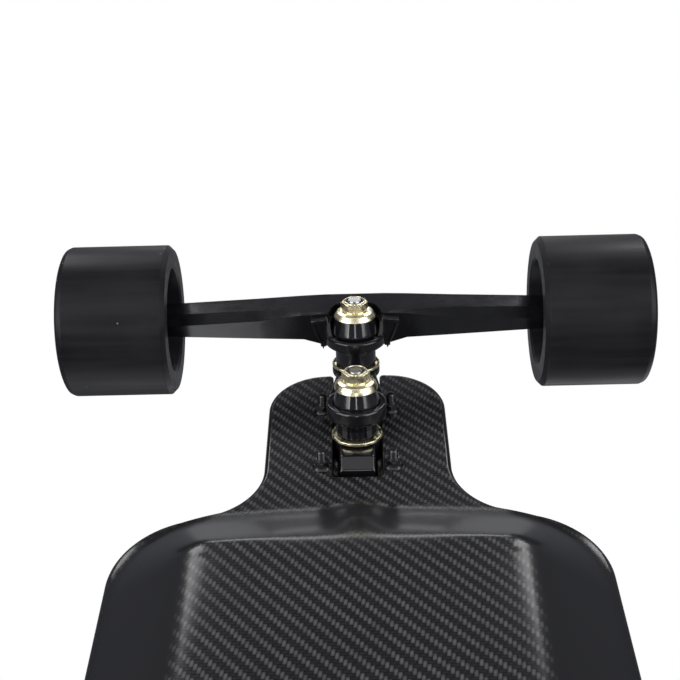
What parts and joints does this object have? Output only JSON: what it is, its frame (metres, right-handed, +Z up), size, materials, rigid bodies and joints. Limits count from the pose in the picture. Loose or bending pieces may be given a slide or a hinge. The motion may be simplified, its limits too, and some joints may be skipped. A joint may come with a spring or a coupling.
{
  "type": "electric skateboard",
  "caption": "Low carbon-shell electric board with a battery tub moulded under the deck, drop-through double-pivot trucks, belt-driven rear wheels and urethane wheels.",
  "frame": {"origin": "bottom centre of the bounding box: on the ground, on the centre line, midway between the front wheels' front and the motors' back", "axes": "+Y toward the nose, +Z up from the ground, +X to the right of a rider who faces the nose"},
  "size_m": [0.36, 1.1364, 0.1011],
  "materials": {
    "carbon": "satin clear coat over twill carbon",
    "grip": "matt grit foam",
    "seal": "matt silicone",
    "black_steel": "black oxide",
    "gold": "polished gold plate",
    "truck_black": "gloss black",
    "bushing": "gloss black urethane",
    "pivot_urethane": "matt urethane",
    "wheel_urethane": "satin black urethane",
    "wheel_core": "matt black nylon",
    "bright_steel": "ground steel",
    "cell_can": "wrapped cell",
    "holder": "moulded",
    "circuit": "solder resist",
    "controller_case": "anodised",
    "black_plastic": "fine texture",
    "cap_rubber": "matt rubber",
    "anodised_black": "black anodised",
    "motor_can": "satin black anodised",
    "winding": "enamelled copper over iron",
    "pulley": "hard anodised",
    "belt": "matt rubber"
  },
  "bodies": {
    "board": {"deck_shell": "carbon", "deck_lid": "carbon", "lid_gasket": "seal", "lid_screws": "black_steel", "grip_deck": "grip", "grip_lid": "grip", "battery_cells": "cell_can", "battery_holders": "holder", "bms_board": "circuit", "speed_controller": "controller_case", "receiver": "black_plastic", "charge_port": "black_plastic", "button_bezel": "anodised_black", "truck_bolts": "black_steel", "deck_kingpins": "bright_steel", "deck_kingpin_hardware": "gold", "deck_pivot_cups": "pivot_urethane", "front_baseplate": "truck_black", "rear_baseplate": "truck_black", "front_inner_bushings": "bushing", "rear_inner_bushings": "bushing"},
    "button": {"power_button": "bright_steel"},
    "cap": {"charge_cap": "cap_rubber"},
    "front_link_body": {"front_link": "truck_black", "front_outer_kingpin": "bright_steel", "front_outer_kingpin_hardware": "gold", "front_outer_bushings": "bushing", "front_outer_pivot_cup": "pivot_urethane"},
    "front_hanger_body": {"front_hanger": "truck_black", "front_axle": "bright_steel", "front_axle_nuts": "bright_steel"},
    "front_left_wheel": {"front_left_tyre": "wheel_urethane", "front_left_core": "wheel_core", "front_left_bearings": "bright_steel"},
    "front_right_wheel": {"front_right_tyre": "wheel_urethane", "front_right_core": "wheel_core", "front_right_bearings": "bright_steel"},
    "rear_link_body": {"rear_link": "truck_black", "rear_outer_kingpin": "bright_steel", "rear_outer_kingpin_hardware": "gold", "rear_outer_bushings": "bushing", "rear_outer_pivot_cup": "pivot_urethane"},
    "rear_hanger_body": {"rear_hanger": "truck_black", "rear_axle": "bright_steel", "rear_axle_nuts": "bright_steel", "motor_mounts": "anodised_black", "motor_stators": "winding", "drive_belts": "belt"},
    "rear_left_wheel": {"rear_left_tyre": "wheel_urethane", "rear_left_core": "wheel_core", "rear_left_bearings": "bright_steel", "left_wheel_pulley": "pulley"},
    "rear_right_wheel": {"rear_right_tyre": "wheel_urethane", "rear_right_core": "wheel_core", "rear_right_bearings": "bright_steel", "right_wheel_pulley": "pulley"},
    "left_motor": {"left_motor_rotor": "motor_can", "left_drive_pulley": "pulley"},
    "right_motor": {"right_motor_rotor": "motor_can", "right_drive_pulley": "pulley"}
  },
  "joints": [
    {"name": "front_link_lean", "type": "hinge", "parent": "board", "child": "front_link_body", "pos_m": [0, 0.44508, 0.06239], "axis": [0, 0.8726, 0.4885], "range_deg": [-12, 12], "stiffness_Nm_per_rad": 90, "deforming": ["front_inner_bushings"]},
    {"name": "front_hanger_lean", "type": "hinge", "parent": "front_link_body", "child": "front_hanger_body", "pos_m": [0, 0.49725, 0.04789], "axis": [0, 0.9138, 0.4062], "range_deg": [-12, 12], "stiffness_Nm_per_rad": 90, "deforming": ["front_outer_bushings"]},
    {"name": "front_left_wheel_spin", "type": "hinge", "parent": "front_hanger_body", "child": "front_left_wheel", "pos_m": [0, 0.52125, 0.047], "axis": [1, 0, 0], "continuous": true},
    {"name": "front_right_wheel_spin", "type": "hinge", "parent": "front_hanger_body", "child": "front_right_wheel", "pos_m": [0, 0.52125, 0.047], "axis": [1, 0, 0], "continuous": true},
    {"name": "rear_link_lean", "type": "hinge", "parent": "board", "child": "rear_link_body", "pos_m": [0, -0.39858, 0.06239], "axis": [0, -0.8726, 0.4885], "range_deg": [-12, 12], "stiffness_Nm_per_rad": 90, "deforming": ["rear_inner_bushings"]},
    {"name": "rear_hanger_lean", "type": "hinge", "parent": "rear_link_body", "child": "rear_hanger_body", "pos_m": [0, -0.45075, 0.04789], "axis": [0, -0.9138, 0.4062], "range_deg": [-12, 12], "stiffness_Nm_per_rad": 90, "deforming": ["rear_outer_bushings"]},
    {"name": "rear_left_wheel_spin", "type": "hinge", "parent": "rear_hanger_body", "child": "rear_left_wheel", "pos_m": [0, -0.47475, 0.047], "axis": [1, 0, 0], "continuous": true},
    {"name": "rear_right_wheel_spin", "type": "hinge", "parent": "rear_hanger_body", "child": "rear_right_wheel", "pos_m": [0, -0.47475, 0.047], "axis": [1, 0, 0], "continuous": true},
    {"name": "left_motor_spin", "type": "hinge", "parent": "rear_hanger_body", "child": "left_motor", "pos_m": [0, -0.53675, 0.0696], "axis": [1, 0, 0], "continuous": true},
    {"name": "right_motor_spin", "type": "hinge", "parent": "rear_hanger_body", "child": "right_motor", "pos_m": [0, -0.53675, 0.0696], "axis": [1, 0, 0], "continuous": true},
    {"name": "power_button_press", "type": "slide", "parent": "board", "child": "button", "axis": [0, 0, -1], "range_m": [0, 0.0015], "stiffness_N_per_m": 600},
    {"name": "charge_cap_open", "type": "hinge", "parent": "board", "child": "cap", "pos_m": [0.028, -0.24135, 0.0952], "axis": [-1, 0, 0], "range_deg": [0, 110]}
  ],
  "couplings": [
    {"joint": "left_motor_spin", "follows": "rear_left_wheel_spin", "ratio": 2.4},
    {"joint": "right_motor_spin", "follows": "rear_right_wheel_spin", "ratio": 2.4}
  ]
}
